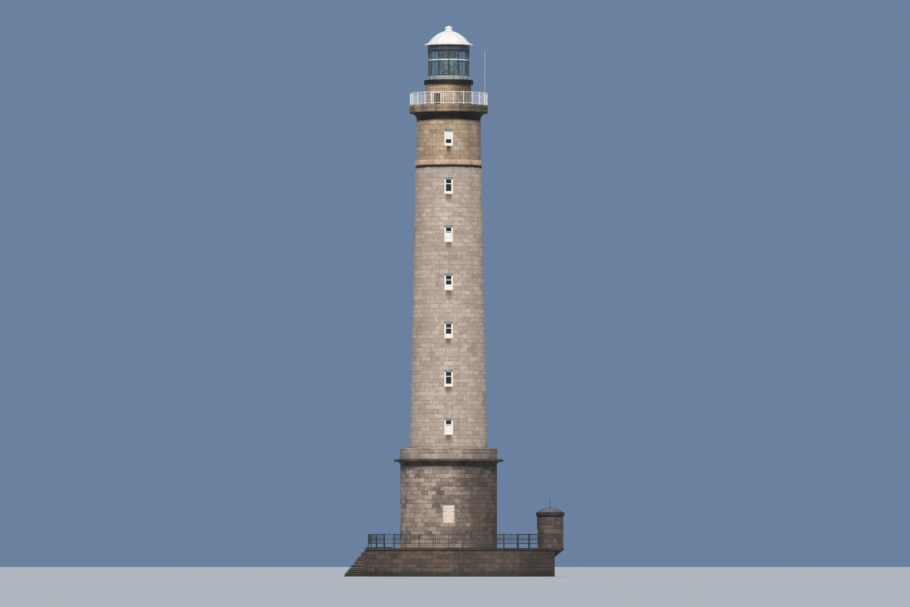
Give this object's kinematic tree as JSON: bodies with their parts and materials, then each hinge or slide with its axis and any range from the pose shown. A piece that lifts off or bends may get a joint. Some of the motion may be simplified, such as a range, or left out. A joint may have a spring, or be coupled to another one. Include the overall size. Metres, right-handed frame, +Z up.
{
  "type": "half-scale granite sea lighthouse",
  "caption": "Half-scale granite sea lighthouse with a drum, tapered shaft, gallery, glazed lantern and a platform with a corbelled turret.",
  "frame": {"origin": "tower axis at the level of the lowest ground, on the underside of the platform", "axes": "+Z up the tower; -Y towards the front with the windows, +X towards the turret"},
  "size_m": [10.39, 7.89, 26.04],
  "materials": {
    "granite": "matte",
    "weathered_granite": "matte",
    "pale_stone": "matte",
    "rendered_masonry": "matte",
    "white_paint": "satin",
    "pale_paint": "satin",
    "dark_iron_paint": "satin",
    "black_iron_paint": "satin",
    "red_brown_paint": "satin",
    "window_glass": "gloss",
    "lantern_glass": "gloss",
    "lens_glass": "gloss"
  },
  "bodies": {
    "root": {"platform_mass": "weathered_granite", "deck_paving": "weathered_granite", "landing_steps": "weathered_granite", "deck_rail_front": "dark_iron_paint", "deck_rail_back": "dark_iron_paint", "deck_rail_left": "dark_iron_paint", "turret_wall": "granite", "turret_corbel": "weathered_granite", "turret_cap": "weathered_granite", "turret_finial": "dark_iron_paint", "turret_door": "red_brown_paint", "drum_front_wall": "granite", "drum_back_wall": "granite", "drum_left_wall": "granite", "drum_right_wall": "granite", "drum_shutters": "white_paint", "drum_door": "red_brown_paint", "drum_cornice": "weathered_granite", "drum_parapet": "granite", "shaft_front_wall": "granite", "shaft_back_wall": "granite", "shaft_left_wall": "granite", "shaft_right_wall": "granite", "string_course": "granite", "crown_wall": "granite", "window_frames_front": "white_paint", "window_frames_back": "white_paint", "window_panes": "window_glass", "window_sills": "pale_stone", "gallery_cornice": "weathered_granite", "gallery_floor": "granite", "gallery_rail": "white_paint", "watch_room_wall": "rendered_masonry", "gallery_door": "red_brown_paint", "lantern_floor": "black_iron_paint", "lantern_wall": "pale_paint", "lantern_frame": "dark_iron_paint", "lantern_glass": "lantern_glass", "lantern_frieze": "black_iron_paint", "lantern_roof": "white_paint", "vent_cowl": "white_paint", "lens_pedestal": "black_iron_paint", "lens": "lens_glass", "aerial": "pale_paint"}
  },
  "joints": []
}
